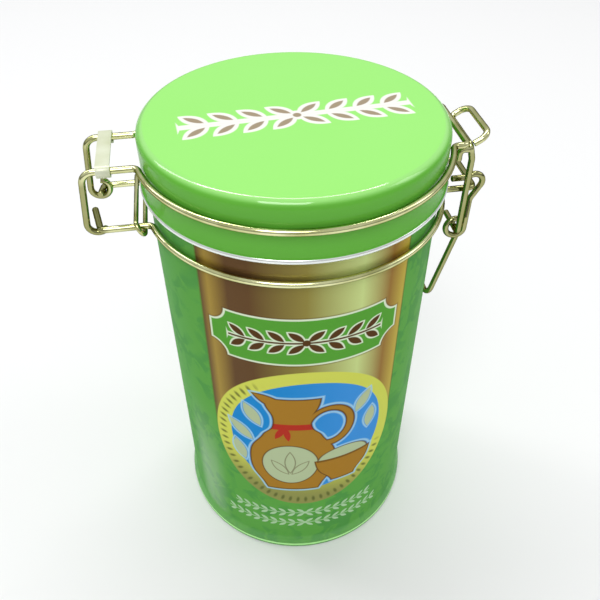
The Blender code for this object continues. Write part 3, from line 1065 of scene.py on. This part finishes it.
def drawBadge(tree, u, v, under):
    # an upright oval badge: the ring round a jug and a bowl of powder
    colour, inRing = drawRing(tree, u, v, under)
    sky = paint(tree, badge["skyLow"], badge["sky"], fade(tree, u, *badge["skyFade"]))
    colour = paint(tree, colour, sky, cover(tree, oval(tree, u, v, *badge["field"])))

    pot = turnedShape(tree, u, v, *badge["jug"])
    handle = minus(tree, oval(tree, u, v, *badge["handle"]), oval(tree, u, v, *badge["handleHole"]))
    jug = together(tree, pot, leaf(tree, u, v, *badge["spout"]), handle)
    bowl = turnedShape(tree, u, v, *badge["bowl"])
    heapFoot = badge["heap"][0][1]
    powder = oval(tree, u, v, *badge["heap"])
    powder = calc(tree, "MAXIMUM", powder, calc(tree, "SUBTRACT", heapFoot, v))
    sprig = leaves(tree, u, v, badge["sprig"])
    figure = together(tree, jug, bowl, powder)
    belly = oval(tree, u, v, *badge["belly"])
    sprout = leaves(tree, u, v, badge["sprout"])
    sash = calc(tree, "ABSOLUTE", calc(tree, "SUBTRACT", v, badge["sashHeight"]))
    sash = calc(tree, "MAXIMUM", pot, calc(tree, "SUBTRACT", sash, badge["sashHalf"]))
    sash = together(tree, sash, leaves(tree, u, v, badge["knot"]))

    def fill(colour, name, mask):
        return paint(tree, colour, badge[name], mask)

    def line(colour, mask, strength):
        return paint(tree, colour, outlineInk, calc(tree, "MULTIPLY", mask, strength))

    glow = outline(tree, together(tree, figure, sprig), *badge["glow"])
    colour = fill(colour, "glowInk", glow)
    colour = fill(colour, "cream", cover(tree, sprig))
    colour = fill(colour, "clay", cover(tree, jug))
    colour = fill(colour, "cream", cover(tree, belly))
    colour = line(colour, outline(tree, sprout, *badge["sproutLine"]), badge["sproutStrength"])
    colour = fill(colour, "ribbon", cover(tree, sash))
    bellyLine = outline(tree, belly, *badge["bellyLine"])
    jugLines = calc(tree, "MAXIMUM", outline(tree, jug, *badge["jugLine"]), bellyLine)
    colour = line(colour, jugLines, badge["lineStrength"])
    colour = fill(colour, "cream", cover(tree, powder))
    colour = fill(colour, "clay", cover(tree, bowl))
    powderLine = outline(tree, powder, *badge["powderLine"])
    bowlLines = calc(tree, "MAXIMUM", outline(tree, bowl, *badge["bowlLine"]), powderLine)
    colour = line(colour, bowlLines, badge["lineStrength"])
    return colour, cover(tree, figure, badge["figureSoft"]), inRing


def drawGround(tree, place, u):
    broad = noise(tree, place, *wallPrint["broad"])
    leafy = noise(tree, place, *wallPrint["leafy"])
    broad = fade(tree, broad, *wallPrint["broadFade"])
    shade = calc(tree, "MULTIPLY", broad, fade(tree, leafy, *wallPrint["leafyFade"]))
    pale = fade(tree, calc(tree, "ABSOLUTE", u), *wallPrint["paleFrom"])
    ground = paint(tree, wallPrint["ground"], wallPrint["groundPale"], pale)
    shade = calc(tree, "MULTIPLY", shade, wallPrint["mottle"])
    return paint(tree, ground, wallPrint["groundDark"], shade)


def varnish(tree, u, v):
    gloss = calc(tree, "ABSOLUTE", calc(tree, "SUBTRACT", u, wallPrint["glossPlace"]))
    gloss = fade(tree, gloss, *wallPrint["glossFade"])
    gloss = calc(tree, "MULTIPLY", gloss, fade(tree, v, *wallPrint["glossHeights"]))
    gloss = calc(tree, "MULTIPLY_ADD", gloss, wallPrint["glossVarnish"], wallPrint["varnish"])
    return calc(tree, "MAXIMUM", gloss, fade(tree, v, *wallPrint["footVarnish"]))


def makeWallPrint(handling, leafRows):
    made, tree, shader = newMaterial("wallPrint", specular=0.0)
    place, axes = objectPlace(tree)
    aside = calc(tree, "SUBTRACT", axes["X"], middleX)
    turn = calc(tree, "ARCTAN2", aside, calc(tree, "MULTIPLY", axes["Y"], -1))
    turn = calc(tree, "SUBTRACT", turn, radians(wallPrint["turn"]))
    u = calc(tree, "MULTIPLY", turn, can["radius"] / mm)
    v = calc(tree, "DIVIDE", axes["Z"], mm)

    colour = drawGround(tree, place, u)
    colour, gold = drawPanel(tree, u, v, colour)
    colour, plate = drawPlaque(tree, u, v, colour, leafRows)
    colour, figure, inRing = drawBadge(tree, u, v, colour)
    for height, half in wallPrint["rows"]:
        above = calc(tree, "SUBTRACT", v, height)
        row = placeGroup(tree, leafRows, U=u, V=above, Half=half, Scale=wallPrint["rowScale"])
        colour = paint(tree, colour, wallPrint["rowInk"], row["Leaf"])
    outer, inner = (part * can["seamWidth"] for part in can["seamShade"])
    seam = fade(tree, calc(tree, "ABSOLUTE", aside), outer, inner)
    seam = calc(tree, "MULTIPLY", seam, calc(tree, "GREATER_THAN", axes["Y"], 0))
    colour = paint(tree, colour, wallPrint["groundDark"], seam)
    # painted highlight: a pale ring of ink round the foot bead, standing for the bead's glint
    low, high = wallPrint["footGlintLine"]
    soft = wallPrint["footSoft"]
    footGlintLine = fade(tree, v, low - soft, low + soft)
    footGlintLine = calc(tree, "MULTIPLY", footGlintLine, fade(tree, v, high + soft, high - soft))
    colour = paint(tree, colour, wallPrint["footGlintInk"], footGlintLine)
    tree.links.new(colour, shader["Base Color"])
    bare = calc(tree, "SUBTRACT", gold, calc(tree, "MAXIMUM", plate, inRing), clamp=True)
    tree.links.new(calc(tree, "MULTIPLY", bare, wallPrint["goldMetal"]), shader["Metallic"])
    tree.links.new(varnish(tree, u, v), shader["Coat Weight"])
    height = calc(tree, "MULTIPLY_ADD", noise(tree, place, *marks["dents"]), wallPrint["relief"], figure)
    roughen(tree, shader, handling, wallPrint, height)
    return made


# Lid, bare edge and wires

lidPaint = {
    # painted light: the flat top is inked a lighter green and the skirt a darker one, as if the top were
    # lit from above
    "top": (0.298, 0.745, 0.158, 1),
    "topPale": (0.312, 0.752, 0.178, 1),
    "skirt": ink(95, 168, 60),
    "cloud": (30, 2),
    "skirtFrom": (0.3, 1.7),  # depths in mm below the flat top, where the painted light of the top gives way to the skirt's darker green
    "rowTurn": 3.8,
    "rowPlace": (2.6, -1.5),
    "rowHalf": 37.3,
    "rowScale": 1.554,
    "rowDepth": 1.0,
    "rowMargin": (0.82, 0.80, 0.76, 1),
    "rowLeaf": (0.33, 0.26, 0.17, 1),
    "coatIor": 1.8,
    "coat": 0.15,  # all over, with more on the shoulder's upper turn
    "shoulderCoat": 0.85,
    "shoulderFrom": (0.02, 0.2),
    "shoulderTo": (1.4, 0.4),
    "roughness": 0.24,
    "smear": 0.10,
    "grain": 0.02,
    "bump": 0.01 * mm,
}


def makeLidEnamel(handling, leafRows):
    made, tree, shader = newMaterial("lidEnamel", specular=0.05)
    shader["Coat IOR"].default_value = lidPaint["coatIor"]
    place, axes = objectPlace(tree)
    depth = calc(tree, "DIVIDE", calc(tree, "SUBTRACT", lidHigh.z, axes["Z"]), mm)
    top = paint(tree, lidPaint["top"], lidPaint["topPale"], noise(tree, place, *lidPaint["cloud"]))
    # painted light: lighter green on the flat top, darker green on the skirt below the shoulder
    colour = paint(tree, top, lidPaint["skirt"], fade(tree, depth, *lidPaint["skirtFrom"]))
    x = calc(tree, "DIVIDE", axes["X"], mm)
    y = calc(tree, "DIVIDE", axes["Y"], mm)
    u, v = turnedAxes(tree, x, y, lidPaint["rowPlace"], lidPaint["rowTurn"])
    row = placeGroup(tree, leafRows, U=u, V=v, Half=lidPaint["rowHalf"], Scale=lidPaint["rowScale"])
    flat = calc(tree, "LESS_THAN", depth, lidPaint["rowDepth"])
    colour = paint(tree, colour, lidPaint["rowMargin"], calc(tree, "MULTIPLY", row["Margin"], flat))
    colour = paint(tree, colour, lidPaint["rowLeaf"], calc(tree, "MULTIPLY", row["Core"], flat))
    tree.links.new(colour, shader["Base Color"])
    shoulder = fade(tree, depth, *lidPaint["shoulderFrom"])
    shoulder = calc(tree, "MULTIPLY", shoulder, fade(tree, depth, *lidPaint["shoulderTo"]))
    coat = calc(tree, "MULTIPLY_ADD", shoulder, lidPaint["shoulderCoat"], lidPaint["coat"])
    tree.links.new(coat, shader["Coat Weight"])
    roughen(tree, shader, handling, lidPaint)
    return made


metals = {
    "bareTin": {
        "pale": (0.95, 0.98, 0.96, 1),
        "deep": (0.88, 0.92, 0.90, 1),
        "edge": (0.60, 0.68, 0.66, 1),
        "metallic": 0.7,
        "roughness": 0.18,
    },
    "paleBrass": {
        "pale": (0.86, 0.87, 0.49, 1),
        "deep": (0.52, 0.53, 0.22, 1),
        "edge": (0.05, 0.04, 0.01, 1),
        "metallic": 1.0,
        "roughness": 0.12,
        "legShade": (0.32, 0.32, 0.13, 1),  # painted shade: a darker tone on the legs of the latch and the hinge, for the dark reflections they show
        "legShadeStrength": 0.85,
        "legShadeLatch": (51.5 * mm, 54.0 * mm),
        "legShadeHinge": (-62.0 * mm, -65.0 * mm),
        "legShadeHeight": (176.0 * mm, 172.0 * mm),
    },
    "strapBrass": {
        "pale": (0.76, 0.79, 0.62, 1),
        "deep": (0.62, 0.65, 0.44, 1),
        "edge": (0.70, 0.68, 0.46, 1),
        "metallic": 0.15,
        "roughness": 0.30,
    },
}
metalMarks = {"smear": 0.06, "grain": 0.02, "bump": 0.0015 * mm}
metalClouds = {"noise": (70, 4), "fade": (0.35, 0.7)}


def makeMetal(name, handling):
    # cloudy metal with a deeper tint at its grazing edges
    metal = metals[name] | metalMarks
    made, tree, shader = newMaterial(name, metallic=metal["metallic"])
    place, axes = objectPlace(tree)
    tone = fade(tree, noise(tree, place, *metalClouds["noise"]), *metalClouds["fade"])
    colour = paint(tree, metal["pale"], metal["deep"], tone)
    # painted shade: the legs get a darker tone, standing for the dark reflections they show
    if "legShade" in metal:
        aside = calc(tree, "SUBTRACT", axes["X"], middleX)
        latchSide = fade(tree, aside, *metal["legShadeLatch"])
        legs = calc(tree, "MAXIMUM", latchSide, fade(tree, aside, *metal["legShadeHinge"]))
        legs = calc(tree, "MULTIPLY", legs, fade(tree, axes["Z"], *metal["legShadeHeight"]))
        legs = calc(tree, "MULTIPLY", legs, metal["legShadeStrength"])
        colour = paint(tree, colour, metal["legShade"], legs)
    tree.links.new(colour, shader["Base Color"])
    shader["Specular Tint"].default_value = metal["edge"]
    roughen(tree, shader, handling, metal)
    return made


addCamera()
addFloor()
addWorld()
for lampName, lampValues in studio["lamps"].items():
    addSoftbox(lampName, *lampValues)
handling = makeHandling()
leafRows = makeLeafRow()
print("materials")
wall = makeWallPrint(handling, leafRows)
enamel = makeLidEnamel(handling, leafRows)
bareTin = makeMetal("bareTin", handling)
brass = makeMetal("paleBrass", handling)
strapBrass = makeMetal("strapBrass", handling)
makeCan([wall])
makeLid([enamel, bareTin])
makeWires(brass)
makeStrap(strapBrass)
